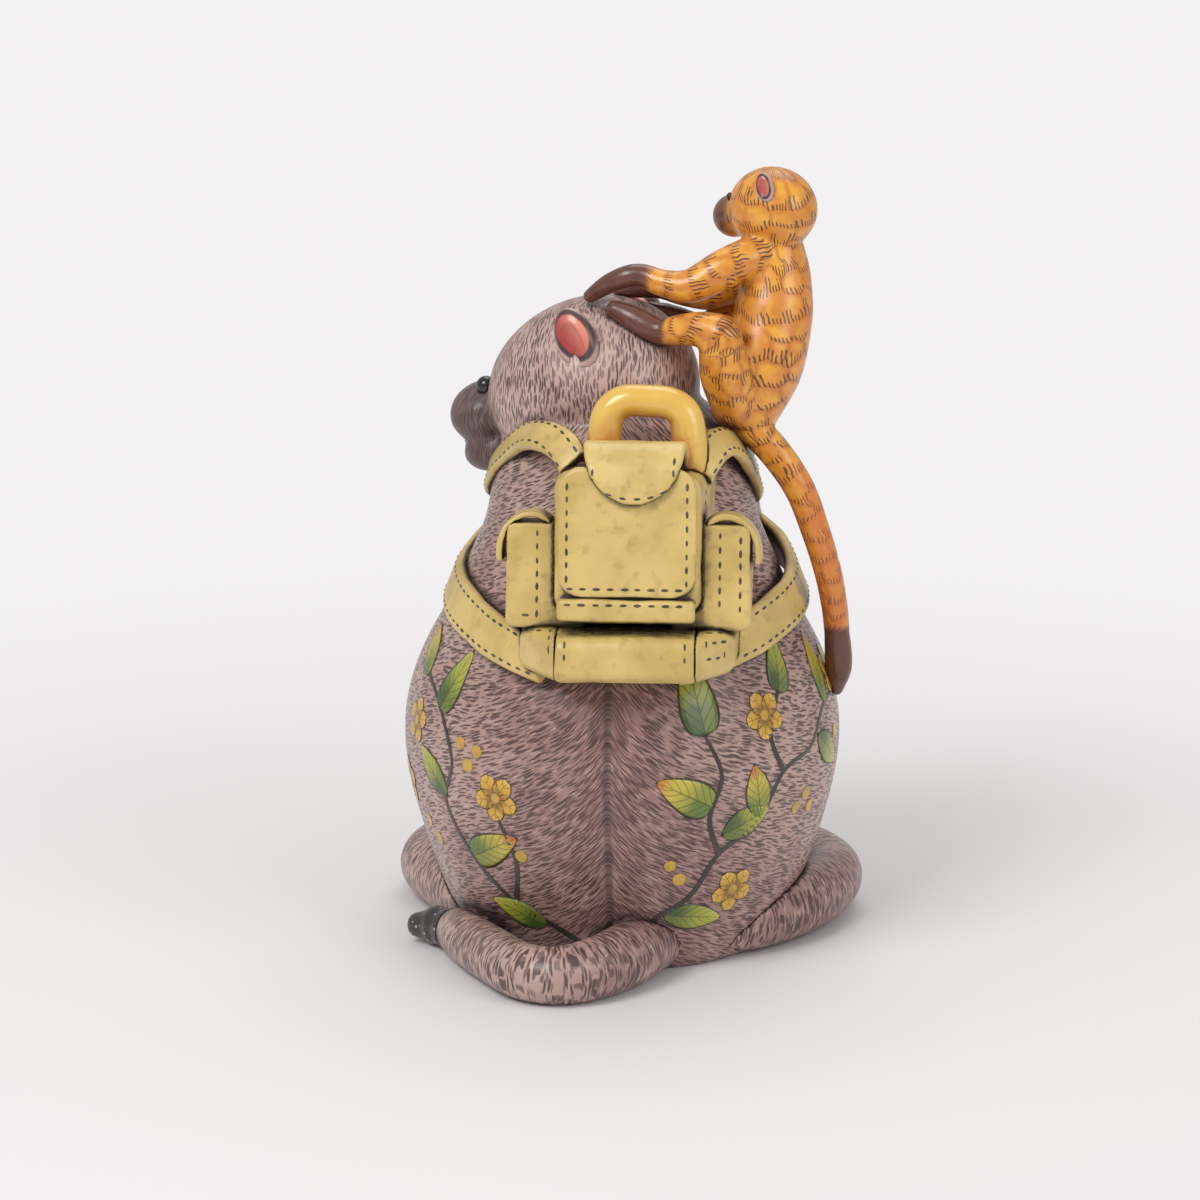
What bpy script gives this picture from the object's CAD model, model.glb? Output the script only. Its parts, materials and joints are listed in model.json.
import json
import math
import random
import bpy
import bmesh
import numpy as np
from mathutils import Matrix, Vector, noise
from mathutils.bvhtree import BVHTree

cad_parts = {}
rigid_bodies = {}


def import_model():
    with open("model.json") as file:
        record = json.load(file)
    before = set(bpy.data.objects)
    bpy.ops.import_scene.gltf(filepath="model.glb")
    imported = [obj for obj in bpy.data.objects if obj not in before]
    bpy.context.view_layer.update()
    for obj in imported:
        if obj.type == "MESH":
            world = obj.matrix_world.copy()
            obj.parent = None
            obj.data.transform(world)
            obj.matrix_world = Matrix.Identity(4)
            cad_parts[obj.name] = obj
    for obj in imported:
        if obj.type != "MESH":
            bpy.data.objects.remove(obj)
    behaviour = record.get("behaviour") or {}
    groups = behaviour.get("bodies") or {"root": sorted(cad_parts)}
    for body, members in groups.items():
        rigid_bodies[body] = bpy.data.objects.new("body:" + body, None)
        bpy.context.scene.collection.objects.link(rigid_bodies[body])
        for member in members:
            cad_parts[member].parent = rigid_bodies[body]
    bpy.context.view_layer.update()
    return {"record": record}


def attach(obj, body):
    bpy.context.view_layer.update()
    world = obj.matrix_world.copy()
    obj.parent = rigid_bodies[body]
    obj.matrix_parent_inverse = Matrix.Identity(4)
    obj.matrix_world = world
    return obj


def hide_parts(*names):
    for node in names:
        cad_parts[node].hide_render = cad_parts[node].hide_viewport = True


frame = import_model()
random.seed(7)
mm = 0.001

body = {"radius": 55.5 * mm, "height": 142 * mm, "voxel": 1.1 * mm, "smoothing": 6, "wall": 6 * mm}


def place(across, back, up):  # shares of the body's radius and height, as in the part
    return Vector((across * body["radius"], back * body["radius"], up * body["height"]))


def colour(red, green, blue):  # screen values to Blender's linear ones
    linear = [((c / 255 + 0.055) / 1.055) ** 2.4 if c > 10 else c / 255 / 12.92 for c in (red, green, blue)]
    return (*linear, 1.0)


def deselectAll():
    for item in bpy.context.selected_objects:
        item.select_set(False)


def newObject(name, mesh):
    made = bpy.data.objects.new(name, mesh)
    bpy.context.scene.collection.objects.link(made)
    return made


def applyAll(made):
    deselectAll()
    made.select_set(True)
    bpy.context.view_layer.objects.active = made
    for modifier in list(made.modifiers):
        bpy.ops.object.modifier_apply(modifier=modifier.name)


# Triangles of the CAD nodes, for nearest-piece and crevice tests
def nodeTree(nodes):
    corners, faces, owners = [], [], []
    for node in nodes:
        mesh = bpy.data.objects[node].data
        start = len(corners)
        corners += [vertex.co.copy() for vertex in mesh.vertices]
        for face in mesh.polygons:
            faces.append([start + index for index in face.vertices])
            owners.append(node)
    return BVHTree.FromPolygons(corners, faces), owners


allNodes = [entry if isinstance(entry, str) else entry["node"] for entry in frame["record"]["subparts"]]
everything, everyOwner = nodeTree(allNodes)
print("frame loaded:", len(allNodes), "nodes")


# Skins: clay forms that stand for the plain CAD solids
def skin(name, nodes, voxel, smoothing, inside=None):
    work = bmesh.new()
    for node in nodes:
        work.from_mesh(bpy.data.objects[node].data)
    bmesh.ops.remove_doubles(work, verts=work.verts, dist=0.002 * mm)
    mesh = bpy.data.meshes.new(name)
    work.to_mesh(mesh)
    work.free()
    made = newObject(name, mesh)
    remesh = made.modifiers.new("clay", "REMESH")
    remesh.mode = "VOXEL"
    remesh.voxel_size = voxel
    softer = made.modifiers.new("soft", "SMOOTH")
    softer.factor = 0.5
    softer.iterations = smoothing
    applyAll(made)
    work = bmesh.new()
    work.from_mesh(made.data)
    if inside:
        bmesh.ops.delete(work, geom=[face for face in work.faces if inside(face.calc_center_median())], context="FACES")
    keepLargest(work)
    bmesh.ops.holes_fill(work, edges=[edge for edge in work.edges if edge.is_boundary], sides=0)
    bmesh.ops.triangulate(work, faces=[face for face in work.faces if len(face.verts) > 4])
    bmesh.ops.recalc_face_normals(work, faces=work.faces)
    work.to_mesh(made.data)
    work.free()
    for face in made.data.polygons:
        face.use_smooth = True
    made.data.materials.clear()
    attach(made, "root")
    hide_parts(*nodes)
    return made


def keepLargest(work):
    seen = set()
    groups = []
    for face in work.faces:
        if face in seen:
            continue
        seen.add(face)
        group, queue = [], [face]
        while queue:
            here = queue.pop()
            group.append(here)
            for edge in here.edges:
                for beside in edge.link_faces:
                    if beside not in seen:
                        seen.add(beside)
                        queue.append(beside)
        groups.append(group)
    groups.sort(key=len)
    loose = [face for group in groups[:-1] for face in group]
    bmesh.ops.delete(work, geom=loose, context="FACES")
    bare = [vertex for vertex in work.verts if not vertex.link_faces]
    bmesh.ops.delete(work, geom=bare, context="VERTS")


def crevices(made, reach=9 * mm, rays=8, lift=0.6 * mm):
    # How shut in each place is, for the darker washes that gather in folds
    directions = []
    for index in range(rays):
        turn = index * 2.39996
        level = math.sqrt((index + 0.5) / rays)
        directions.append(Vector((math.cos(turn) * level, math.sin(turn) * level, math.sqrt(1 - level * level))))
    values = np.zeros(len(made.data.vertices), dtype=np.float32)
    for index, vertex in enumerate(made.data.vertices):
        normal = vertex.normal
        basis = normal.to_track_quat("Z", "Y").to_matrix()
        start = vertex.co + normal * lift
        shut = 0.0
        for direction in directions:
            hit = everything.ray_cast(start, basis @ direction, reach)
            if hit[0] is not None:
                shut += 1 - 0.7 * hit[3] / reach
        values[index] = min(1.0, shut / rays * 1.5)
    if len(made.data.vertices):
        writeValues(made, "wash", values)


def writeValues(made, name, values):
    layer = made.data.attributes.get(name) or made.data.attributes.new(name, "FLOAT", "POINT")
    layer.data.foreach_set("value", np.asarray(values, dtype=np.float32))


def nearness(made, nodes, reach):
    tree, owners = nodeTree(nodes)
    values = []
    for vertex in made.data.vertices:
        hit = tree.find_nearest(vertex.co, reach * 1.5)
        values.append(max(0.0, 1 - hit[3] / reach) if hit[0] is not None else 0.0)
    return values


def smoothed(points, steps=6):  # a Catmull-Rom curve through hand-set points
    fine = []
    for index in range(len(points) - 1):
        before = points[max(0, index - 1)]
        here, there = points[index], points[index + 1]
        after = points[min(len(points) - 1, index + 2)]
        for step in range(steps):
            t = step / steps
            bend = before * 2 - here * 5 + there * 4 - after
            twist = here * 3 - before - there * 3 + after
            fine.append(here + ((there - before) * t + bend * t * t + twist * t ** 3) * 0.5)
    fine.append(points[-1])
    return fine


# Ways that brush strokes follow over each form, kept as a UV map in units of 100 mm
class Path:
    def __init__(self, points, radius):
        points = smoothed(points, 3)
        self.points = points
        self.radius = radius
        self.lengths = [0.0]
        for here, there in zip(points, points[1:]):
            self.lengths.append(self.lengths[-1] + (there - here).length)

    def locate(self, spot):
        best = None
        for index, (here, there) in enumerate(zip(self.points, self.points[1:])):
            run = there - here
            share = max(0.0, min(1.0, (spot - here).dot(run) / run.length_squared))
            foot = here + run * share
            gap = (spot - foot).length
            if best is None or gap < best[0]:
                best = (gap, index, share, foot, run.normalized())
        gap, index, share, foot, way = best
        along = self.lengths[index] + share * (self.lengths[index + 1] - self.lengths[index])
        across = Vector((0, 0, 1)) - way * way.z
        if across.length < 0.2:
            across = Vector((0, 1, 0)) - way * way.y
        across.normalize()
        side = way.cross(across)
        out = spot - foot
        return along, math.atan2(out.dot(side), out.dot(across))


def folded(path):  # strokes run round the limb, alike on both sides
    def map(spot, middle):
        along, turn = path.locate(spot)
        return abs(turn) * path.radius, along
    return map


def wrapped(path, flip=1):  # round and along, kept whole over each face
    last = {}

    def map(spot, middle):
        along, turn = path.locate(spot)
        key = tuple(middle)
        if key not in last:
            last.clear()
            last[key] = path.locate(middle)[1]
        aim = last[key]
        turn += 2 * math.pi * round((aim - turn) / (2 * math.pi))
        return turn * path.radius, flip * along
    return map


def bodyWay(spot, middle):
    # Fur that leaves the spine slanting down and levels out round the flanks
    out = math.hypot(spot.x, spot.y)
    away = abs(math.atan2(spot.x, -spot.y)) * out
    fall = 0.22 * away + 15 * mm * (1 - math.exp(-away / (13 * mm)))
    return away, spot.z + fall


def headWay(centre, radius):
    def map(spot, middle):
        offset = spot - centre
        level = math.hypot(offset.x, offset.y)
        turn = math.atan2(offset.x, -offset.y)
        aim = math.atan2(middle.x - centre.x, -(middle.y - centre.y))
        turn += 2 * math.pi * round((aim - turn) / (2 * math.pi))
        return math.atan2(level, offset.z) * radius, turn * max(level, radius * 0.35)
    return map


def uprightWay(centre, radius):
    def map(spot, middle):
        turn = math.atan2(spot.x - centre.x, -(spot.y - centre.y))
        aim = math.atan2(middle.x - centre.x, -(middle.y - centre.y))
        turn += 2 * math.pi * round((aim - turn) / (2 * math.pi))
        return turn * radius, spot.z
    return map


def writeWays(made, nodes, ways):
    # Each face follows the way of the CAD piece that it lies nearest to
    tree, owners = nodeTree(nodes)
    mesh = made.data
    layer = mesh.uv_layers.get("strokes") or mesh.uv_layers.new(name="strokes")
    flat = np.zeros(len(mesh.loops) * 2, dtype=np.float32)
    for face in mesh.polygons:
        middle = face.center
        hit = tree.find_nearest(middle)
        way = ways[owners[hit[2]]]
        for corner in face.loop_indices:
            spot = mesh.vertices[mesh.loops[corner].vertex_index].co
            along, across = way(spot, middle)
            flat[2 * corner] = along * 10
            flat[2 * corner + 1] = across * 10
    layer.data.foreach_set("uv", flat)


# Small helpers for material nodes
class Mixer:
    def __init__(self, name):
        self.material = bpy.data.materials.new(name)
        self.material.use_nodes = True
        self.tree = self.material.node_tree
        self.shader = self.tree.nodes["Principled BSDF"]

    def node(self, kind, **settings):
        made = self.tree.nodes.new(kind)
        for key, value in settings.items():
            setattr(made, key, value)
        return made

    def feed(self, socket, value):
        if isinstance(value, bpy.types.NodeSocket):
            self.tree.links.new(value, socket)
        else:
            socket.default_value = value

    def math(self, operation, first, second=0.0, third=0.0):
        made = self.node("ShaderNodeMath", operation=operation)
        for index, value in enumerate((first, second, third)):
            self.feed(made.inputs[index], value)
        return made.outputs[0]

    def step(self, value, low, high, start=0.0, end=1.0):
        made = self.node("ShaderNodeMapRange", interpolation_type="SMOOTHSTEP")
        for index, item in enumerate((value, low, high, start, end)):
            self.feed(made.inputs[index], item)
        return made.outputs[0]

    def mix(self, share, first, second):
        made = self.node("ShaderNodeMix", data_type="RGBA")
        self.feed(made.inputs[0], share)
        self.feed(made.inputs[6], first)
        self.feed(made.inputs[7], second)
        return made.outputs[2]

    def spots(self):
        return self.node("ShaderNodeTexCoord").outputs["Object"]

    def strokes(self):
        return self.node("ShaderNodeUVMap", uv_map="strokes").outputs[0]

    def value(self, name):
        return self.node("ShaderNodeAttribute", attribute_name=name).outputs["Fac"]

    def noise(self, vector, scale, detail=3.0, rough=0.55):
        made = self.node("ShaderNodeTexNoise")
        self.feed(made.inputs["Vector"], vector)
        made.inputs["Scale"].default_value = scale
        made.inputs["Detail"].default_value = detail
        made.inputs["Roughness"].default_value = rough
        return made.outputs[0]

    def split(self, vector):
        made = self.node("ShaderNodeSeparateXYZ")
        self.feed(made.inputs[0], vector)
        return made.outputs

    def join(self, first, second, third=0.0):
        made = self.node("ShaderNodeCombineXYZ")
        for index, value in enumerate((first, second, third)):
            self.feed(made.inputs[index], value)
        return made.outputs[0]

    def finish(self, base, rough, height=None, depth=0.1 * mm, coat=0.35):
        self.feed(self.shader.inputs["Base Color"], base)
        self.feed(self.shader.inputs["Roughness"], rough)
        self.shader.inputs["Coat Weight"].default_value = coat
        self.shader.inputs["Coat Roughness"].default_value = 0.22
        if height is not None:
            bump = self.node("ShaderNodeBump")
            bump.inputs["Strength"].default_value = 0.7
            bump.inputs["Distance"].default_value = depth
            self.feed(bump.inputs["Height"], height)
            self.feed(self.shader.inputs["Normal"], bump.outputs[0])
        return self.material


def dashes(mixer, length, width, reach, shift, wander=0.5):
    # Short strokes scattered along the way of the fur; lengths in mm
    along, across, _ = mixer.split(mixer.strokes())
    wave = mixer.noise(mixer.spots(), 90.0, 2.0)
    swing = mixer.math("MULTIPLY", mixer.math("SUBTRACT", wave, 0.5), wander * 0.06)
    across = mixer.math("ADD", across, swing)
    vector = mixer.join(
        mixer.math("MULTIPLY_ADD", along, 100 / length, shift), mixer.math("MULTIPLY_ADD", across, 100 / width, shift * 1.7)
    )
    cells = mixer.node("ShaderNodeTexVoronoi", voronoi_dimensions="2D")
    mixer.feed(cells.inputs["Vector"], vector)
    cells.inputs["Scale"].default_value = 1.0
    cells.inputs["Randomness"].default_value = 0.95
    patchy = mixer.noise(mixer.spots(), 130.0, 1.0)
    limit = mixer.math("MULTIPLY_ADD", patchy, reach * 0.9, reach * 0.55)
    return mixer.step(mixer.math("SUBTRACT", cells.outputs["Distance"], limit), 0.05, -0.07)


fur = {
    "pale": colour(206, 176, 164), "mid": colour(180, 145, 139), "mauve": colour(126, 86, 84),
    "stroke": colour(58, 34, 38), "dark": colour(66, 42, 46), "crease": colour(46, 28, 32), "lowShare": 0.26,
}


def furMaterial(name, length=5.6, width=0.86, reach=0.27, spine=False, mauveShare=0.25, palm=None):
    mixer = Mixer(name)
    spots = mixer.spots()
    broad = mixer.noise(spots, 28.0, 3.0)
    fine = mixer.noise(spots, 160.0, 4.0)
    base = mixer.mix(mixer.step(broad, 0.35, 0.68), fur["pale"], fur["mid"])
    base = mixer.mix(mixer.math("MULTIPLY", mixer.step(fine, 0.45, 0.75), 0.35), base, fur["mid"])
    wash = mixer.value("wash")
    mauve = mixer.math("MULTIPLY", mixer.step(broad, 0.40, 0.72), mauveShare)
    groove = None
    if spine:
        x, y, z = mixer.split(spots)
        aside = mixer.math("ABSOLUTE", mixer.math("ADD", x, mixer.math("MULTIPLY", mixer.math("SUBTRACT", broad, 0.5), 0.004)))
        behind = mixer.step(y, -0.012, -0.030)
        low = mixer.math("MULTIPLY", behind, mixer.step(z, 0.104, 0.088))
        nearSpine = mixer.math("MULTIPLY", low, mixer.step(aside, 0.046, 0.002))
        ragged = mixer.math("MULTIPLY", nearSpine, mixer.step(fine, 0.25, 0.62, 0.45, 1.0))
        mauve = mixer.math("MAXIMUM", mauve, mixer.math("MULTIPLY", ragged, 0.80))
        groove = mixer.math("MULTIPLY", low, mixer.step(aside, 0.0016, 0.0002))
    level = mixer.split(spots)[2]
    base = mixer.mix(mixer.step(level, 0.125, 0.075, 0.0, fur["lowShare"]), base, fur["mauve"])
    base = mixer.mix(mauve, base, fur["mauve"])
    first = dashes(mixer, length, width, reach, 0.0)
    second = dashes(mixer, length * 0.7, width * 1.05, reach * 0.92, 7.3)
    third = dashes(mixer, length * 1.25, width * 1.3, reach * 0.62, 15.1)
    ink = mixer.math("MAXIMUM", first, mixer.math("MULTIPLY", second, 0.75))
    ink = mixer.math("MAXIMUM", ink, mixer.math("MULTIPLY", third, 0.6))
    pale = dashes(mixer, length * 0.9, width * 1.1, reach * 0.8, 23.9)
    base = mixer.mix(mixer.math("MULTIPLY", pale, 0.45), base, fur["pale"])
    inked = mixer.mix(mixer.math("MULTIPLY", ink, 0.86), base, fur["stroke"])
    inked = mixer.mix(mixer.math("MULTIPLY", mixer.value("halo"), 0.55), inked, mixer.mix(ink, fur["pale"], fur["mid"]))
    inked = mixer.mix(mixer.math("MULTIPLY", mixer.value("shade"), 0.80), inked, fur["dark"])
    inked = mixer.mix(mixer.step(wash, 0.22, 0.95, 0.0, 0.82), inked, fur["crease"])
    if groove is not None:
        inked = mixer.mix(mixer.math("MULTIPLY", groove, 0.55), inked, fur["crease"])
    height = mixer.math("MULTIPLY_ADD", ink, -0.8, mixer.math("MULTIPLY", fine, 0.35))
    if groove is not None:
        height = mixer.math("SUBTRACT", height, mixer.math("MULTIPLY", groove, 2.0))
    return mixer.finish(inked, mixer.math("MULTIPLY_ADD", fine, 0.15, 0.34), height, depth=0.22 * mm)


spotted = {
    "patch": colour(236, 170, 58), "amber": colour(214, 134, 44), "line": colour(196, 116, 40), "hatch": colour(60, 36, 24),
    "rust": colour(206, 98, 46), "dark": colour(76, 40, 38), "cell": 5.6,
}


def spottedMaterial():
    # Yellow fur in rounded patches, each with a row of short dark hairs along its lower edge
    mixer = Mixer("spottedFur")
    spots = mixer.spots()
    around, along, _ = mixer.split(mixer.strokes())
    wave = mixer.noise(spots, 140.0, 2.0)
    bend = mixer.math("MULTIPLY", mixer.math("SUBTRACT", wave, 0.5), 0.03)
    scale = 100 / spotted["cell"]
    u = mixer.math("MULTIPLY", mixer.math("ADD", around, bend), scale)
    v = mixer.math("MULTIPLY", mixer.math("ADD", along, bend), scale)
    cells = mixer.node("ShaderNodeTexVoronoi", voronoi_dimensions="2D")
    mixer.feed(cells.inputs["Vector"], mixer.join(u, v))
    cells.inputs["Scale"].default_value = 1.0
    cells.inputs["Randomness"].default_value = 0.72
    edges = mixer.node("ShaderNodeTexVoronoi", voronoi_dimensions="2D", feature="DISTANCE_TO_EDGE")
    mixer.feed(edges.inputs["Vector"], mixer.join(u, v))
    edges.inputs["Scale"].default_value = 1.0
    edges.inputs["Randomness"].default_value = 0.72
    edge = edges.outputs["Distance"]
    centreX, centreY, _ = mixer.split(cells.outputs["Position"])
    sideways = mixer.math("SUBTRACT", u, centreX)
    upright = mixer.math("SUBTRACT", v, centreY)
    fine = mixer.noise(spots, 220.0, 3.0)
    broad = mixer.noise(spots, 45.0, 2.0)
    ground = mixer.mix(mixer.step(broad, 0.35, 0.7), spotted["amber"], spotted["line"])
    patch = mixer.mix(mixer.step(fine, 0.3, 0.7), spotted["patch"], spotted["amber"])
    base = mixer.mix(mixer.step(edge, 0.02, 0.20), ground, patch)
    thin = mixer.step(edge, 0.05, 0.015)
    low = mixer.step(upright, 0.12, -0.12)
    base = mixer.mix(mixer.math("MULTIPLY", mixer.math("MULTIPLY", thin, low), mixer.step(broad, 0.40, 0.60, 0.0, 0.35)), base, spotted["hatch"])
    lean = mixer.math("MULTIPLY_ADD", upright, 0.22, sideways)
    comb = mixer.math("PINGPONG", mixer.math("MULTIPLY", lean, 1.0), 0.085)
    hair = mixer.step(comb, 0.042, 0.020)
    ragged = mixer.math("MULTIPLY_ADD", mixer.math("SUBTRACT", fine, 0.5), 0.25, edge)
    band = mixer.math("MULTIPLY", mixer.step(ragged, 0.30, 0.23), mixer.step(upright, -0.03, -0.11))
    hairs = mixer.math("MULTIPLY", hair, band)
    base = mixer.mix(mixer.math("MULTIPLY", hairs, 0.9), base, spotted["hatch"])
    x, y, z = mixer.split(spots)
    flank = mixer.math("MULTIPLY", mixer.step(x, 0.040, 0.052), mixer.step(z, 0.185, 0.165))
    base = mixer.mix(mixer.math("MULTIPLY", flank, 0.45), base, spotted["rust"])
    base = mixer.mix(mixer.math("MULTIPLY", mixer.value("shade"), 0.96), base, mixer.mix(fine, spotted["dark"], colour(104, 60, 50)))
    base = mixer.mix(mixer.step(mixer.value("wash"), 0.30, 1.0, 0.0, 0.62), base, colour(110, 58, 30))
    height = mixer.math("MULTIPLY_ADD", hairs, -0.6, mixer.math("MULTIPLY", fine, 0.2))
    return mixer.finish(base, mixer.math("MULTIPLY_ADD", fine, 0.12, 0.26), height, depth=0.16 * mm, coat=0.5)


canvas = {
    "light": colour(218, 190, 116), "mid": colour(196, 168, 94), "olive": colour(148, 128, 74), "grime": colour(54, 44, 32),
    "stitch": colour(58, 46, 36),
}


def canvasMaterial():
    mixer = Mixer("canvasGlaze")
    spots = mixer.spots()
    broad = mixer.noise(spots, 55.0, 3.0)
    fine = mixer.noise(spots, 300.0, 4.0)
    grain = mixer.noise(spots, 900.0, 2.0)
    base = mixer.mix(mixer.step(broad, 0.38, 0.66), canvas["light"], canvas["mid"])
    base = mixer.mix(mixer.math("MULTIPLY", mixer.step(fine, 0.52, 0.78), 0.5), base, canvas["olive"])
    wash = mixer.value("wash")
    rubbed = mixer.math("MULTIPLY_ADD", mixer.math("SUBTRACT", fine, 0.5), 0.35, wash)
    base = mixer.mix(mixer.step(rubbed, 0.05, 0.34, 0.0, 0.78), base, canvas["olive"])
    base = mixer.mix(mixer.step(rubbed, 0.20, 0.66, 0.0, 0.96), base, canvas["grime"])
    base = mixer.mix(mixer.math("MULTIPLY", mixer.value("edge"), 0.45), base, canvas["grime"])
    height = mixer.math("MULTIPLY_ADD", fine, 0.7, mixer.math("MULTIPLY", grain, 0.25))
    return mixer.finish(base, mixer.math("MULTIPLY_ADD", fine, 0.14, 0.36), height, depth=0.12 * mm)


def glazeMaterial(name, first, second, third, scale=70.0, rough=0.2, washShare=0.6, speckle=None):
    mixer = Mixer(name)
    spots = mixer.spots()
    broad = mixer.noise(spots, scale, 3.0)
    fine = mixer.noise(spots, 260.0, 3.0)
    base = mixer.mix(mixer.step(broad, 0.36, 0.68), first, second)
    base = mixer.mix(mixer.step(mixer.value("wash"), 0.10, 0.7, 0.0, washShare), base, third)
    base = mixer.mix(mixer.math("MULTIPLY", mixer.step(fine, 0.55, 0.8), 0.3), base, third)
    if speckle:
        dots = mixer.node("ShaderNodeTexVoronoi")
        mixer.feed(dots.inputs["Vector"], spots)
        dots.inputs["Scale"].default_value = 560.0
        base = mixer.mix(mixer.step(dots.outputs["Distance"], 0.24, 0.16), base, speckle)
    return mixer.finish(base, mixer.math("MULTIPLY_ADD", fine, 0.1, rough), fine, depth=0.08 * mm, coat=0.6)


def earMaterial():
    mixer = Mixer("earGlaze")
    spots = mixer.spots()
    out = mixer.value("bowl")
    fine = mixer.noise(spots, 240.0, 3.0)
    along, across, _ = mixer.split(mixer.strokes())
    inner = mixer.mix(mixer.step(mixer.math("ADD", across, mixer.math("MULTIPLY", fine, 0.02)), -0.02, 0.05), colour(176, 58, 56), colour(226, 142, 122))
    ring = mixer.math("MULTIPLY", mixer.step(out, 0.60, 0.68), mixer.step(out, 0.86, 0.78))
    base = mixer.mix(mixer.step(out, 0.70, 0.80), inner, mixer.mix(fine, fur["pale"], fur["mid"]))
    base = mixer.mix(mixer.math("MULTIPLY", ring, 0.92), base, colour(54, 40, 46))
    return mixer.finish(base, mixer.math("MULTIPLY_ADD", fine, 0.1, 0.26), fine, depth=0.08 * mm, coat=0.5)


# The large monkey
armShares = [
    (0.38, 0.14, 0.825), (0.44, 0.38, 0.785), (0.47, 0.58, 0.715), (0.50, 0.72, 0.640), (0.46, 0.86, 0.575),
    (0.38, 0.96, 0.525), (0.29, 1.00, 0.492), (0.20, 1.03, 0.470), (0.11, 1.04, 0.455),
]
legShares = {
    "left": [
        (-0.48, -0.44, 0.068), (-0.66, -0.14, 0.066), (-0.82, 0.16, 0.063), (-0.93, 0.42, 0.060), (-0.90, 0.66, 0.058),
        (-0.75, 0.86, 0.056), (-0.56, 0.99, 0.054), (-0.41, 1.07, 0.052), (-0.29, 1.13, 0.051), (-0.18, 1.18, 0.048),
    ],
    "right": [
        (0.44, -0.46, 0.062), (0.65, -0.30, 0.064), (0.82, -0.09, 0.064), (0.93, 0.15, 0.062), (0.96, 0.40, 0.060),
        (0.88, 0.64, 0.058), (0.72, 0.86, 0.056), (0.48, 1.03, 0.053), (0.32, 1.12, 0.051), (0.18, 1.18, 0.048),
    ],
}
tailShares = [
    (0.18, -0.66, 0.060), (0.08, -0.90, 0.056), (-0.06, -1.09, 0.053), (-0.21, -1.17, 0.050),
    (-0.37, -1.11, 0.049), (-0.52, -0.88, 0.047), (-0.64, -0.66, 0.045), (-0.71, -0.50, 0.042), (-0.91, -0.33, 0.032),
]
headCentre = place(-0.14, 0.04, 0.993)


def outerRadii():
    # The body's outside, read from its nodes at each height
    steps = 72
    radii = np.zeros(steps + 1)
    for node in ("lower_body", "upper_body"):
        for vertex in bpy.data.objects[node].data.vertices:
            level = int(round(vertex.co.z / body["height"] * steps))
            radii[min(steps, max(0, level))] = max(radii[min(steps, max(0, level))], math.hypot(vertex.co.x, vertex.co.y))
    filled = [index for index in range(steps + 1) if radii[index] > 0]
    return lambda z: float(np.interp(z / body["height"] * steps, filled, radii[filled]))


outside = outerRadii()


def insideBody(spot):
    deep = math.hypot(spot.x, spot.y) < outside(spot.z) - 0.55 * body["wall"]
    return deep and 3 * mm < spot.z < body["height"] - 0.55 * body["wall"] and (spot - headCentre).length > 0.030


def zero(made, *names):
    for name in names:
        writeValues(made, name, np.zeros(len(made.data.vertices)))


def side(name, *parts):
    return [f"{name}_{part}" for part in parts]


trunkNodes = ["lower_body", "upper_body", "head", "muzzle", "jaw", *side("left", "arm", "forearm", "hand"),
              *side("right", "arm", "forearm", "hand")]
trunk = skin("monkeyBody", trunkNodes, body["voxel"], body["smoothing"], insideBody)
ways = {"lower_body": bodyWay, "upper_body": bodyWay}
for node in ("head", "muzzle", "jaw"):
    ways[node] = headWay(headCentre, 26 * mm)
for name, sign in (("left", -1), ("right", 1)):
    arm = Path([place(sign * across, back, up) for across, back, up in armShares], 8 * mm)
    for node in side(name, "arm", "forearm", "hand"):
        ways[node] = folded(arm)
writeWays(trunk, trunkNodes, ways)
crevices(trunk)
writeValues(trunk, "shade", np.clip(np.array(nearness(trunk, ["muzzle", "jaw", "left_hand", "right_hand"], 3 * mm)) * 1.3, 0, 1))
writeValues(trunk, "halo", np.clip(np.array(nearness(trunk, ["left_ear", "right_ear"], 6 * mm)) * 1.6, 0, 1))
trunk.data.materials.append(furMaterial("greyFur", spine=True))
print("body:", len(trunk.data.polygons), "faces")

for name, slotName in (("left", "grey_fur"), ("right", "grey_fur")):
    nodes = side(name, "thigh", "shin", "foot")
    leg = skin(f"{name}Leg", nodes, 0.8 * mm, 5)
    route = Path([place(*shares) for shares in legShares[name]], 9 * mm)
    writeWays(leg, nodes, {node: folded(route) for node in nodes})
    crevices(leg)
    writeValues(leg, "shade", np.clip(np.array(nearness(leg, [f"{name}_foot"], 3 * mm)) * 0.8, 0, 1))
    zero(leg, "halo")
    leg.data.materials.append(furMaterial(f"{name}LegFur", length=6.2, width=1.15, reach=0.28, mauveShare=0.4))

tail = skin("curledTail", ["tail"], 0.8 * mm, 5)
tailPath = Path([place(*shares) for shares in tailShares], 8 * mm)
writeWays(tail, ["tail"], {"tail": folded(tailPath)})
crevices(tail)
zero(tail, "shade", "halo")
tail.data.materials.append(furMaterial("tailFur", length=7.5, width=0.95, reach=0.30, mauveShare=0.6))
tailTip = skin("tailTip", ["tail_tip"], 0.5 * mm, 4)
crevices(tailTip)
tailTip.data.materials.append(
    glazeMaterial("tailTipGlaze", colour(46, 34, 36), colour(66, 50, 50), colour(24, 18, 20), rough=0.32, speckle=colour(190, 176, 164))
)


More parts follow.
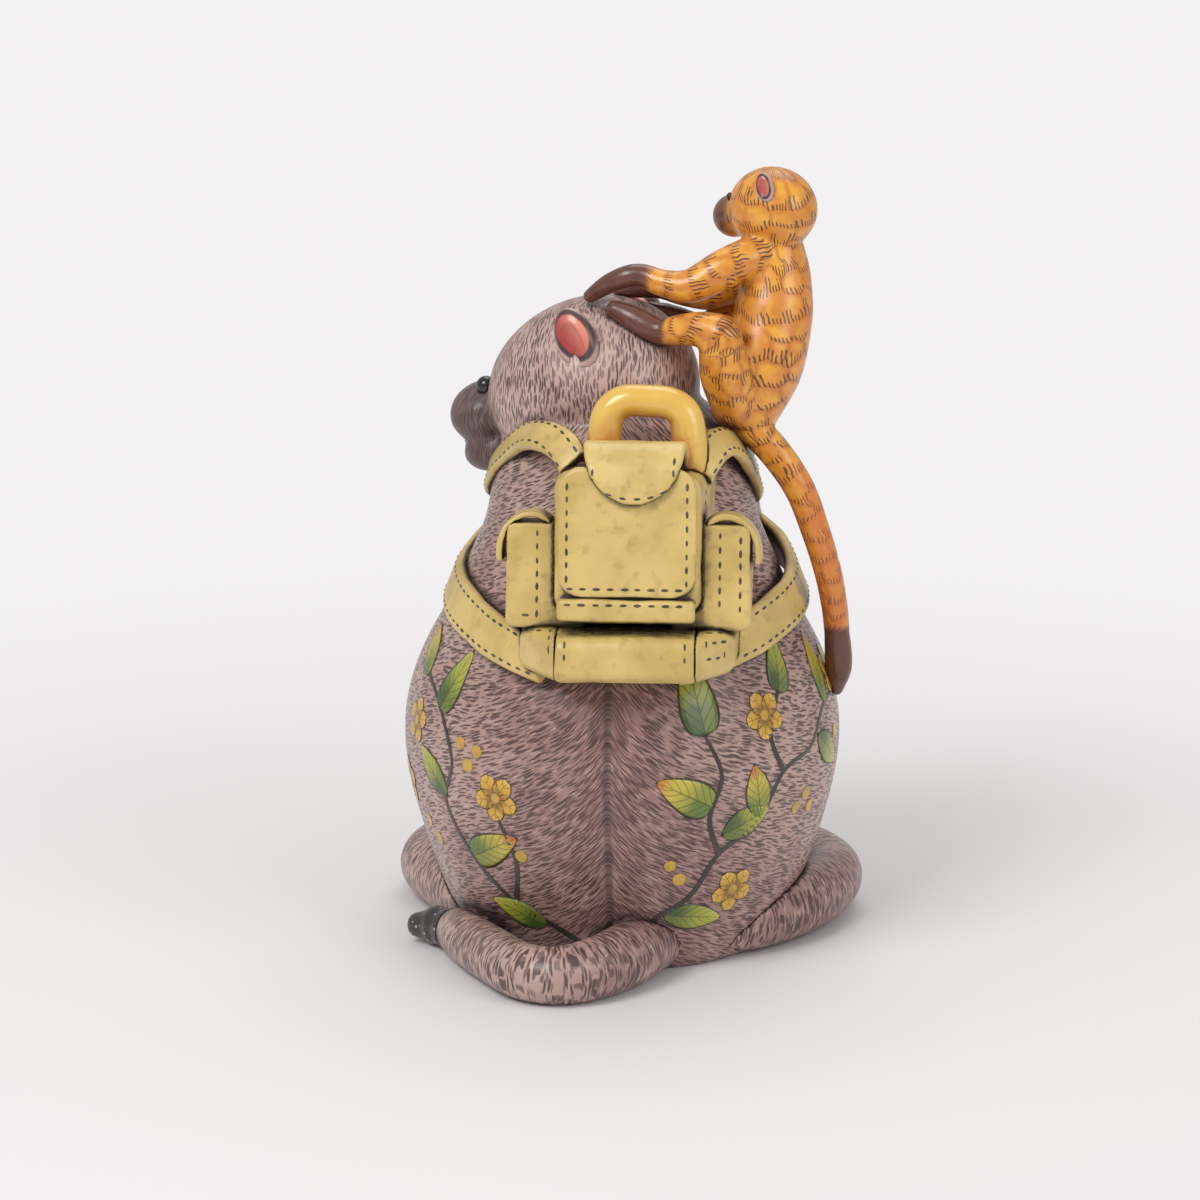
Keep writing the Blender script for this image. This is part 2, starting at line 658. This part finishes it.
def earPiece(node, headSpot, material):
    made = skin(node.replace("_", "") + "Clay", [node], 0.3 * mm, 3)
    spots = np.array([vertex.co for vertex in made.data.vertices])
    centre = spots.mean(axis=0)
    _, _, axes = np.linalg.svd(spots - centre, full_matrices=False)
    tall, wide = axes[0], axes[1]
    if tall[2] < 0:
        tall = -tall
    if wide[0] < 0:
        wide = -wide
    level = (spots - centre) @ tall
    aside = (spots - centre) @ wide
    out = np.sqrt((level / np.abs(level).max()) ** 2 + (aside / np.abs(aside).max()) ** 2)
    writeValues(made, "bowl", out)
    layer = made.data.uv_layers.new(name="strokes")
    for loop in made.data.loops:
        layer.data[loop.index].uv = (level[loop.vertex_index] * 10, aside[loop.vertex_index] * 10)
    crevices(made, reach=3 * mm, lift=0.3 * mm)
    made.data.materials.append(material)


earGlaze = earMaterial()
smallCentre = place(0.675, 0.0, 1.320)
for node in ("left_ear", "right_ear"):
    earPiece(node, headCentre, earGlaze)
for node in ("small_left_ear", "small_right_ear"):
    earPiece(node, smallCentre, earGlaze)
eyeGlaze = glazeMaterial("eyeGlaze", colour(34, 22, 20), colour(20, 14, 14), colour(8, 6, 6), rough=0.08)
for node in ("left_eye", "right_eye", "small_left_eye", "small_right_eye"):
    eyePiece = skin(node.replace("_", "") + "Bead", [node], 0.22 * mm, 3)
    zero(eyePiece, "wash")
    eyePiece.data.materials.append(eyeGlaze)
print("limbs, tail, ears and eyes done")

# The small monkey
smallPaths = {
    "body": [(0.57, -0.15, 0.985), (0.63, -0.11, 1.05), (0.68, -0.06, 1.13), (0.69, -0.02, 1.20), (0.68, 0.0, 1.265)],
    "leftArm": [(0.60, -0.10, 1.245), (0.46, -0.16, 1.222), (0.32, -0.18, 1.194), (0.20, -0.17, 1.196),
                (0.10, -0.15, 1.208), (0.03, -0.15, 1.206), (-0.06, -0.13, 1.190), (-0.14, -0.11, 1.168)],
    "rightArm": [(0.64, 0.10, 1.210), (0.51, 0.17, 1.176), (0.39, 0.18, 1.155), (0.27, 0.15, 1.158),
                 (0.18, 0.12, 1.168), (0.12, 0.10, 1.171), (0.04, 0.08, 1.168), (-0.03, 0.06, 1.158)],
    "leftThigh": [(0.52, -0.24, 0.99), (0.48, -0.31, 1.05), (0.46, -0.34, 1.11)],
    "rightThigh": [(0.64, 0.06, 1.02), (0.68, 0.16, 1.065), (0.66, 0.24, 1.105)],
    "leftShin": [(0.46, -0.34, 1.118), (0.37, -0.31, 1.126), (0.27, -0.28, 1.122), (0.19, -0.25, 1.117),
                 (0.12, -0.23, 1.125), (0.05, -0.21, 1.138), (-0.02, -0.19, 1.150)],
    "rightShin": [(0.65, 0.25, 1.106), (0.53, 0.26, 1.108), (0.42, 0.23, 1.100), (0.34, 0.21, 1.092),
                  (0.26, 0.20, 1.100), (0.18, 0.18, 1.112), (0.12, 0.16, 1.122)],
    "tail": [(0.57, -0.20, 0.952), (0.69, -0.22, 0.907), (0.81, -0.23, 0.840), (0.89, -0.21, 0.757), (0.945, -0.17, 0.681),
             (0.975, -0.12, 0.613), (0.985, -0.09, 0.570), (0.995, -0.08, 0.500), (0.98, -0.07, 0.462)],
}
smallRadii = {"body": 10, "leftArm": 4, "rightArm": 4, "leftThigh": 6.4, "rightThigh": 6.4, "leftShin": 4, "rightShin": 4, "tail": 3.8}
smallRoutes = {key: Path([place(*shares) for shares in points], smallRadii[key] * mm) for key, points in smallPaths.items()}
smallNodes = {
    "small_body": "body", "small_left_arm": "leftArm", "small_left_hand": "leftArm", "small_right_arm": "rightArm",
    "small_right_hand": "rightArm", "small_left_thigh": "leftThigh", "small_right_thigh": "rightThigh",
    "small_left_shin": "leftShin", "small_left_foot": "leftShin", "small_right_shin": "rightShin",
    "small_right_foot": "rightShin", "small_tail": "tail", "small_tail_tuft": "tail",
}
smallWays = {node: wrapped(smallRoutes[key], -1) for node, key in smallNodes.items()}
smallWays["small_body"] = uprightWay(place(0.66, -0.05, 0), 10 * mm)
smallWays["small_head"] = uprightWay(smallCentre, 9.5 * mm)
smallWays["small_muzzle"] = uprightWay(smallCentre, 9.5 * mm)
smallSkinNodes = [*smallNodes, "small_head", "small_muzzle"]
small = skin("smallMonkey", smallSkinNodes, 0.55 * mm, 7)
writeWays(small, smallSkinNodes, smallWays)
crevices(small, reach=6 * mm)
darkNodes = ["small_left_hand", "small_right_hand", "small_left_foot", "small_right_foot", "small_tail_tuft"]
darkness = np.clip(np.array(nearness(small, darkNodes, 2.2 * mm)) * 1.7, 0, 1)
faceShade = np.clip(np.array(nearness(small, ["small_muzzle"], 1.0 * mm)), 0, 1)
spotsOfSmall = np.array([vertex.co for vertex in small.data.vertices])
faceFront = np.clip((-spotsOfSmall[:, 0] + place(0.675, 0, 0).x - 9.5 * mm) / (3 * mm), 0, 1)
writeValues(small, "shade", np.maximum(darkness, faceShade * faceFront))
small.data.materials.append(spottedMaterial())
print("small monkey:", len(small.data.polygons), "faces")

# The backpack
pack = {"across": 0.086, "back": -0.757, "up": 0.572, "lean": 8.0, "voxel": 0.5 * mm, "smoothing": 5}
lean = math.radians(pack["lean"])
packPlace = place(pack["across"], pack["back"], pack["up"])
packOut = Vector((0, -math.cos(lean), math.sin(lean)))
packUp = Vector((0, math.sin(lean), math.cos(lean)))


def onPack(across, up, out):
    return packPlace + Vector((1, 0, 0)) * across * mm + packUp * up * mm + packOut * out * mm


canvasGlaze = canvasMaterial()
packNodes = [
    "pack_pouch", "pack_front_panel", "pack_base_left", "pack_base_middle", "pack_base_right", "pack_lower_band",
    "pack_top_flap", "left_pocket", "right_pocket", "left_pocket_flap", "right_pocket_flap", "left_shoulder_strap",
    "right_shoulder_strap", "left_waist_strap", "right_waist_strap",
]
packPieces = {}
for node in packNodes:
    words = node.split("_")
    title = words[0] + "".join(word.capitalize() for word in words[1:]) + "Clay"
    piece = skin(title, [node], pack["voxel"], pack["smoothing"])
    for vertex in piece.data.vertices:  # a hand-shaped unevenness
        wobble = noise.noise(vertex.co * 90) * 0.35 * mm + noise.noise(vertex.co * 260) * 0.10 * mm
        vertex.co += vertex.normal * wobble
    crevices(piece, reach=6 * mm, lift=0.5 * mm)
    zero(piece, "edge")
    piece.data.materials.append(canvasGlaze)
    packPieces[node] = piece
loop = skin("handleLoop", ["pack_handle"], 0.5 * mm, 6)
crevices(loop, reach=14 * mm)
loop.data.materials.append(
    glazeMaterial("handleGlaze", colour(232, 194, 96), colour(228, 178, 78), colour(208, 128, 56), scale=60.0, rough=0.12, washShare=0.85)
)
print("backpack skins done")

# Stitches, one mesh of small dark thread ends sunk in the glaze
stitch = {"length": 2.1 * mm, "width": 0.78 * mm, "pitch": 3.3 * mm, "sink": 0.08 * mm}
deselectAll()
bpy.ops.mesh.primitive_uv_sphere_add(segments=8, ring_count=5, radius=0.5)
stitchModel = bpy.context.active_object
stitchMesh = stitchModel.data
bpy.data.objects.remove(stitchModel)


def surfaceTree(pieces):
    corners, faces = [], []
    for piece in pieces:
        start = len(corners)
        corners += [vertex.co.copy() for vertex in piece.data.vertices]
        faces += [[start + index for index in face.vertices] for face in piece.data.polygons]
    return BVHTree.FromPolygons(corners, faces)


packSurface = surfaceTree(list(packPieces.values()))
stitchWork = bmesh.new()


def layStitches(spots):
    # spots: places on a surface with their outward ways, in order along the seam
    travelled = stitch["pitch"] * 0.4
    for (here, normal), (there, _) in zip(spots, spots[1:]):
        run = there - here
        span = run.length
        if span < 1e-6 or span > 6 * mm:
            continue
        while travelled < span:
            centre = here + run * (travelled / span)
            way = (run.normalized() + Vector((random.uniform(-0.06, 0.06), random.uniform(-0.06, 0.06), 0))).normalized()
            depth = (normal - way * normal.dot(way)).normalized()
            broad = depth.cross(way)
            size = random.uniform(0.82, 1.12)
            turn = Matrix((way, broad, depth)).transposed().to_4x4()
            grow = Matrix.Diagonal((stitch["length"] * size, stitch["width"] * size, stitch["width"] * 0.7, 1.0))
            start = len(stitchWork.verts)
            stitchWork.from_mesh(stitchMesh)
            stitchWork.verts.ensure_lookup_table()
            bmesh.ops.transform(
                stitchWork, matrix=Matrix.Translation(centre - depth * stitch["sink"]) @ turn @ grow,
                verts=stitchWork.verts[start:],
            )
            travelled += stitch["pitch"] * random.uniform(0.92, 1.08)
        travelled -= span


def sewFront(points):
    # A seam seen from behind the pack: its points across and up, in mm, dropped onto the front
    spots = []
    for (x0, y0), (x1, y1) in zip(points, points[1:]):
        count = max(2, int(math.hypot(x1 - x0, y1 - y0) / 0.8))
        for index in range(count):
            share = index / count
            start = onPack(x0 + (x1 - x0) * share, y0 + (y1 - y0) * share, 60)
            hit = packSurface.ray_cast(start, -packOut, 80 * mm)
            if hit[0] is not None:
                spots.append((hit[0], hit[1]))
    layStitches(spots)


def lobe(centre, half, top, drop, count=14):
    return [(centre + half * math.cos(math.pi * index / count), top - drop * math.sin(math.pi * index / count)) for index in range(count + 1)]


seams = [
    [(-14.6, 46.0), (-14.6, 19.8), (14.6, 19.8), (14.6, 46.0)],
    [(-18.4, 44.0), (-18.2, 14.0)], [(18.2, 14.0), (18.4, 44.0)],
    [(-15.6, 16.0), (15.6, 16.0)],
    [(-15.4, 9.2), (15.4, 9.2)], [(-14.6, 7.6), (-14.6, 2.2)], [(14.6, 7.6), (14.6, 2.2)],
    [(-24.6, 9.0), (-18.6, 9.2), (-18.6, 2.4)], [(18.8, 9.2), (24.6, 9.0)],
    [(19.6, 3.2), (23.8, 3.2), (23.8, 7.0), (19.6, 7.0), (19.6, 3.2)],
    [(-22.2, 34.0), (-22.2, 12.6), (-29.0, 12.6)], [(22.4, 34.0), (22.4, 12.6)], [(27.4, 33.0), (27.4, 13.0)],
    lobe(1.5, 9.8, 47.0, 5.0), [(11.2, 47.0), (11.4, 52.0)], [(-8.4, 47.0), (-8.6, 52.0)],
]
for seam in seams:
    sewFront(seam)

straps = {
    "shoulder": {"left": [(0.17, -0.72, 0.915), (0.28, -0.58, 0.950), (0.40, -0.40, 0.940), (0.52, -0.18, 0.890),
                          (0.60, 0.06, 0.825), (0.55, 0.27, 0.790), (0.44, 0.45, 0.760), (0.36, 0.55, 0.735)],
                 "right": [(0.38, -0.68, 0.900), (0.45, -0.54, 0.938), (0.51, -0.37, 0.930), (0.57, -0.17, 0.885),
                           (0.60, 0.06, 0.825), (0.55, 0.27, 0.790), (0.44, 0.45, 0.760), (0.36, 0.55, 0.735)],
                 "rise": [0.5, 0.8, 0.9, 0.6, 0.2, 0.1, 0.1, 0.1], "width": 8.5, "spread": {"left": 1.0, "right": 1.0}},
    "waist": {"both": [(0.38, 0.58, 0.730), (0.54, 0.49, 0.705), (0.69, 0.32, 0.680), (0.765, 0.08, 0.660),
                         (0.775, -0.17, 0.645), (0.70, -0.43, 0.628), (0.57, -0.66, 0.610), (0.42, -0.84, 0.598),
                       (0.29, -0.94, 0.588)],
              "rise": [0.2, 0.3, 0.35, 0.4, 0.4, 0.35, 0.25, 0.1, 0.05], "width": 11.5,
              "spread": {"left": 0.97, "right": 1.03}},
}


for kind, strap in straps.items():
    for name, sign in (("left", -1), ("right", 1)):
        tree = surfaceTree([packPieces[f"{name}_{kind}_strap"]])
        reach = sign * strap["spread"][name]
        centres = smoothed([place(reach * across, back, up) for across, back, up in strap.get(name, strap.get("both"))])
        rises = smoothed([Vector((0, 0, rise)) for rise in strap["rise"]])
        for edge in (-0.34, 0.34):
            spots = []
            for index in range(1, len(centres) - 1):
                way = (centres[index + 1] - centres[index - 1]).normalized()
                radial = Vector((centres[index].x, centres[index].y, 0)).normalized() + rises[index]
                face = (radial - way * radial.dot(way)).normalized()
                spot = centres[index] + way.cross(face) * (edge * strap["width"] * mm)
                hit = tree.ray_cast(spot + face * 5 * mm, -face, 9 * mm)
                if hit[0] is not None:
                    spots.append((hit[0], hit[1]))
            layStitches(spots)

threadMesh = bpy.data.meshes.new("thread")
stitchWork.to_mesh(threadMesh)
stitchWork.free()
thread = newObject("stitches", threadMesh)
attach(thread, "root")
zero(thread, "wash")
thread.data.materials.clear()
thread.data.materials.append(glazeMaterial("threadPaint", canvas["stitch"], colour(88, 78, 56), colour(44, 38, 30), rough=0.4))
print("stitches:", len(thread.data.polygons), "faces")

# Painted plants: plain leaves, five-petalled flowers, berries and a trailing stem
bodySurface = surfaceTree([trunk])
paint = {"lift": 0.10 * mm, "stemWidth": 0.75 * mm}


def onBelly(turn, height):
    # A place on the belly: degrees round from the back towards the right, and height in mm
    angle = math.radians(turn)
    way = Vector((-math.sin(angle), math.cos(angle), 0))
    start = Vector((math.sin(angle), -math.cos(angle), 0)) * 0.12 + Vector((0, 0, height * mm))
    hit = bodySurface.ray_cast(start, way, 0.12)
    return hit[0] + hit[1] * paint["lift"]


def offBelly(turn, height, aside, rise):
    # Shifted by mm to the right and up along the belly
    radius = outside(height * mm) / mm
    return onBelly(turn + math.degrees(aside / radius), height + rise)


def petalSheet(work, layer, turn, height, tilt, length, width, form, kind, rows=14, columns=6):
    # A leaf or petal from its foot, tilted in degrees from upright; form shapes its outline
    angle = math.radians(tilt)
    grid = []
    for row in range(rows + 1):
        t = row / rows
        half = width / 2 * form(t)
        line = []
        for column in range(columns + 1):
            s = 2 * column / columns - 1
            x = s * half
            y = t * length
            line.append(work.verts.new(offBelly(turn, height, x * math.cos(angle) + y * math.sin(angle), y * math.cos(angle) - x * math.sin(angle))))
        grid.append(line)
    for row in range(rows):
        for column in range(columns):
            face = work.faces.new((grid[row][column], grid[row][column + 1], grid[row + 1][column + 1], grid[row + 1][column]))
            face.smooth = True
            for loop, (c, r) in zip(face.loops, ((column, row), (column + 1, row), (column + 1, row + 1), (column, row + 1))):
                loop[layer].uv = (c / columns, r / rows)


def lance(t):
    return max(0.02, math.sin(math.pi * t ** 0.85) ** 0.85)


def heartLeaf(t):
    return max(0.02, math.sin(math.pi * t ** 0.6) ** 0.7)


def petal(t):
    return max(0.05, math.sin(math.pi * (0.08 + 0.86 * t ** 1.15)) ** 0.75)


def sheetObject(name, work, material):
    bmesh.ops.recalc_face_normals(work, faces=work.faces)
    mesh = bpy.data.meshes.new(name)
    work.to_mesh(mesh)
    work.free()
    made = newObject(name, mesh)
    thick = made.modifiers.new("thin", "SOLIDIFY")
    thick.thickness = 0.12 * mm
    thick.offset = 0.0
    applyAll(made)
    made.data.materials.append(material)
    zero(made, "wash")
    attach(made, "root")
    return made


def leafMaterial(name, low, high, tip, ink, veins=7.0):
    mixer = Mixer(name)
    uv = mixer.node("ShaderNodeUVMap", uv_map="leaf").outputs[0]
    u, v, _ = mixer.split(uv)
    aside = mixer.math("ABSOLUTE", mixer.math("SUBTRACT", u, 0.5))
    fine = mixer.noise(mixer.spots(), 260.0, 3.0)
    base = mixer.mix(mixer.step(mixer.math("ADD", v, mixer.math("MULTIPLY", fine, 0.3)), 0.35, 0.85), low, high)
    base = mixer.mix(mixer.step(mixer.math("MULTIPLY_ADD", fine, 0.35, v), 0.85, 1.25), base, tip)
    base = mixer.mix(mixer.math("MULTIPLY", mixer.step(u, 0.44, 0.56), 0.28), base, high)
    slant = mixer.math("MULTIPLY_ADD", aside, -0.55, v)
    ribs = mixer.math("PINGPONG", mixer.math("MULTIPLY", slant, veins), 0.5)
    lines = mixer.math("MAXIMUM", mixer.step(ribs, 0.10, 0.03), mixer.step(aside, 0.030, 0.012))
    rim = mixer.math("MAXIMUM", mixer.step(aside, 0.425, 0.455), mixer.math("MAXIMUM", mixer.step(v, 0.06, 0.03), mixer.step(v, 0.95, 0.98)))
    base = mixer.mix(mixer.math("MULTIPLY", lines, 0.62), base, ink)
    base = mixer.mix(mixer.math("MULTIPLY", rim, 0.9), base, ink)
    return mixer.finish(base, mixer.math("MULTIPLY_ADD", fine, 0.1, 0.28), mixer.math("MULTIPLY", lines, -0.5), depth=0.08 * mm)


inkBrown = colour(44, 34, 28)
greenLeaf = leafMaterial("greenLeaf", colour(64, 92, 38), colour(168, 172, 62), colour(214, 200, 96), inkBrown)
warmLeaf = leafMaterial("warmLeaf", colour(96, 122, 44), colour(196, 178, 66), colour(198, 84, 48), inkBrown)
petalPaint = leafMaterial("petalPaint", colour(150, 104, 34), colour(214, 168, 58), colour(226, 190, 92), colour(92, 62, 26), veins=3.0)
berryPaint = glazeMaterial("berryPaint", colour(204, 158, 58), colour(168, 142, 52), colour(96, 92, 40), scale=260.0)

stems = [
    [(4, 7), (14, 16), (24, 22), (31, 33), (42, 40), (50, 52), (62, 56), (72, 64), (86, 66)],
    [(31, 33), (27, 43), (30, 54), (26, 64)],
    [(50, 52), (46, 62), (52, 72)],
    [(-6, 7), (-18, 13), (-30, 18), (-42, 28), (-50, 42), (-46, 54), (-54, 66), (-66, 72)],
    [(-30, 18), (-27, 30), (-31, 42)],
    [(110, 12), (124, 24), (134, 40), (150, 48), (164, 60)],
    [(-110, 12), (-122, 26), (-134, 38), (-150, 50), (-166, 58)],
]
leaves = [
    (26, 64, -8, 21, 11, heartLeaf, "green"), (28, 46, -62, 17, 10, heartLeaf, "warm"), (31, 38, 68, 15, 8.5, lance, "green"),
    (43, 41, -12, 15, 8, lance, "warm"), (52, 71, 24, 15, 8, heartLeaf, "green"), (66, 58, 128, 16, 8, lance, "green"),
    (74, 64, 10, 18, 8, lance, "warm"), (16, 17, 100, 15, 7.5, lance, "green"), (-20, 13, -70, 15, 7.5, lance, "green"),
    (-43, 29, 62, 17, 9, heartLeaf, "warm"), (-49, 44, -48, 16, 8, lance, "green"), (-54, 65, 22, 17, 9, heartLeaf, "green"),
    (-66, 71, -40, 15, 8, lance, "warm"), (126, 25, 60, 18, 9, heartLeaf, "green"), (136, 41, -40, 18, 9, lance, "warm"),
    (152, 48, 70, 17, 9, heartLeaf, "green"), (-124, 27, -60, 18, 9, heartLeaf, "green"), (-136, 39, 40, 18, 9, lance, "warm"),
    (-152, 50, -70, 17, 9, heartLeaf, "green"),
]
flowers = [(45, 67, 6.0), (86, 70, 6.4), (38, 22, 6.0), (-31, 47, 6.4), (-66, 60, 5.8), (-76, 42, 6.0), (166, 64, 6.5), (-168, 62, 6.5), (108, 44, 6.0), (-108, 46, 6.0)]
berries = [(61, 44, 1.9), (57, 41, 1.7), (64, 40, 1.6), (79, 56, 1.8), (-40, 54, 1.8), (-37, 58, 1.6), (-43, 59, 1.6), (-60, 30, 1.8), (-64, 34, 1.6), (-25, 32, 1.7), (20, 27, 1.7), (17, 31, 1.5), (140, 52, 1.8), (-140, 50, 1.8)]

works = {"green": bmesh.new(), "warm": bmesh.new()}
layers = {key: work.loops.layers.uv.new("leaf") for key, work in works.items()}
for turn, height, tilt, length, width, form, kind in leaves:
    petalSheet(works[kind], layers[kind], turn, height, tilt, length, width, form, kind)
sheetObject("greenLeaves", works["green"], greenLeaf)
sheetObject("warmLeaves", works["warm"], warmLeaf)
flowerWork = bmesh.new()
flowerLayer = flowerWork.loops.layers.uv.new("leaf")
for turn, height, reach in flowers:
    for index in range(5):
        petalSheet(flowerWork, flowerLayer, turn, height, 72 * index + turn, reach, reach * 0.86, petal, "petal", rows=8, columns=4)
sheetObject("flowers", flowerWork, petalPaint)
berryWork = bmesh.new()
berryLayer = berryWork.loops.layers.uv.new("leaf")
for turn, height, radius in [*berries, *[(turn, height, 1.3) for turn, height, _ in flowers]]:
    petalSheet(berryWork, berryLayer, turn, height - radius, 0, 2 * radius, 2 * radius, lambda t: max(0.05, 2 * math.sqrt(max(0, t * (1 - t)))), "berry", rows=10, columns=6)
berrySheet = sheetObject("berries", berryWork, berryPaint)
for vertex in berrySheet.data.vertices:
    vertex.co += vertex.normal * 0.02 * mm
stemWork = bmesh.new()
stemLayer = stemWork.loops.layers.uv.new("leaf")
for stem in stems:
    line = smoothed([Vector((turn, height, 0)) for turn, height in stem], steps=8)
    rows = []
    for index, spot in enumerate(line):
        ahead = line[min(index + 1, len(line) - 1)] - line[max(index - 1, 0)]
        radius = outside(spot.y * mm) / mm
        run = Vector((math.radians(ahead.x) * radius, ahead.y, 0)).normalized()
        half = paint["stemWidth"] / mm * (1.0 - 0.45 * index / len(line))
        rows.append([
            stemWork.verts.new(offBelly(spot.x, spot.y, run.y * half, -run.x * half)),
            stemWork.verts.new(offBelly(spot.x, spot.y, -run.y * half, run.x * half)),
        ])
    for here, there in zip(rows, rows[1:]):
        stemWork.faces.new((here[0], here[1], there[1], there[0]))
stemPaint = glazeMaterial("stemPaint", colour(40, 32, 28), colour(60, 48, 36), colour(26, 20, 18), rough=0.3)
sheetObject("trailingStem", stemWork, stemPaint)
print("painted plants done")

# Floor, light and camera
studio = {"pale": colour(243, 241, 242), "floor": colour(234, 232, 233), "key": 8.6, "fill": 3.4, "rim": 3.4, "sky": 0.52}
deselectAll()
bpy.ops.mesh.primitive_plane_add(size=8.0, location=(0, 0, 0))
floor = bpy.context.active_object
floor.name = "studioFloor"
floorMix = Mixer("paleFloor")
spots = floorMix.spots()
x, y, z = floorMix.split(spots)
far = floorMix.math("SQRT", floorMix.math("ADD", floorMix.math("MULTIPLY", x, x), floorMix.math("MULTIPLY", y, y)))
floorMix.shader.inputs["Base Color"].default_value = studio["floor"]
floorMix.shader.inputs["Roughness"].default_value = 0.9
floorMix.shader.inputs["Specular IOR Level"].default_value = 0.1
glow = floorMix.node("ShaderNodeEmission")
glow.inputs["Color"].default_value = studio["pale"]
blend = floorMix.node("ShaderNodeMixShader")
seen = floorMix.node("ShaderNodeLightPath").outputs["Is Camera Ray"]
floorMix.feed(blend.inputs[0], floorMix.math("MULTIPLY", seen, floorMix.step(far, 0.10, 0.42)))
floorMix.feed(blend.inputs[1], floorMix.shader.outputs[0])
floorMix.feed(blend.inputs[2], glow.outputs[0])
floorMix.feed(floorMix.tree.nodes["Material Output"].inputs[0], blend.outputs[0])
floor.data.materials.append(floorMix.material)

world = bpy.data.worlds.new("studio")
bpy.context.scene.world = world
world.use_nodes = True
sky = world.node_tree
ambient = sky.nodes["Background"]
ambient.inputs[0].default_value = (1.0, 0.985, 0.97, 1.0)
ambient.inputs[1].default_value = studio["sky"]
backdrop = sky.nodes.new("ShaderNodeBackground")
backdrop.inputs[0].default_value = studio["pale"]
chooser = sky.nodes.new("ShaderNodeMixShader")
path = sky.nodes.new("ShaderNodeLightPath")
sky.links.new(path.outputs["Is Camera Ray"], chooser.inputs[0])
sky.links.new(ambient.outputs[0], chooser.inputs[1])
sky.links.new(backdrop.outputs[0], chooser.inputs[2])
sky.links.new(chooser.outputs[0], sky.nodes["World Output"].inputs[0])


def softLamp(name, spot, size, power, aim=Vector((0, 0, 0.09))):
    lamp = bpy.data.lights.new(name, "AREA")
    lamp.shape = "SQUARE"
    lamp.size = size
    lamp.energy = power
    made = newObject(name, lamp)
    made.location = spot
    made.rotation_euler = (aim - Vector(spot)).to_track_quat("-Z", "Y").to_euler()


softLamp("keyLamp", (-0.55, -0.85, 1.05), 0.6, studio["key"])
softLamp("fillLamp", (0.95, -0.75, 0.65), 0.7, studio["fill"])
softLamp("topLamp", (0.1, 0.55, 1.2), 0.8, studio["rim"])

lens = bpy.data.cameras.new("view")
lens.sensor_fit = "HORIZONTAL"
lens.sensor_width = 36.0
lens.lens = 153.3
lens.clip_start = 0.05
lens.clip_end = 20.0
camera = newObject("view", lens)
camera.location = (0.08229, -1.25831, 0.40070)
target = Vector((-0.0057, 0.0, 0.08621))
camera.rotation_euler = (target - camera.location).to_track_quat("-Z", "Y").to_euler()
bpy.context.scene.camera = camera
bpy.context.scene.view_settings.view_transform = "Standard"

print("camera set")
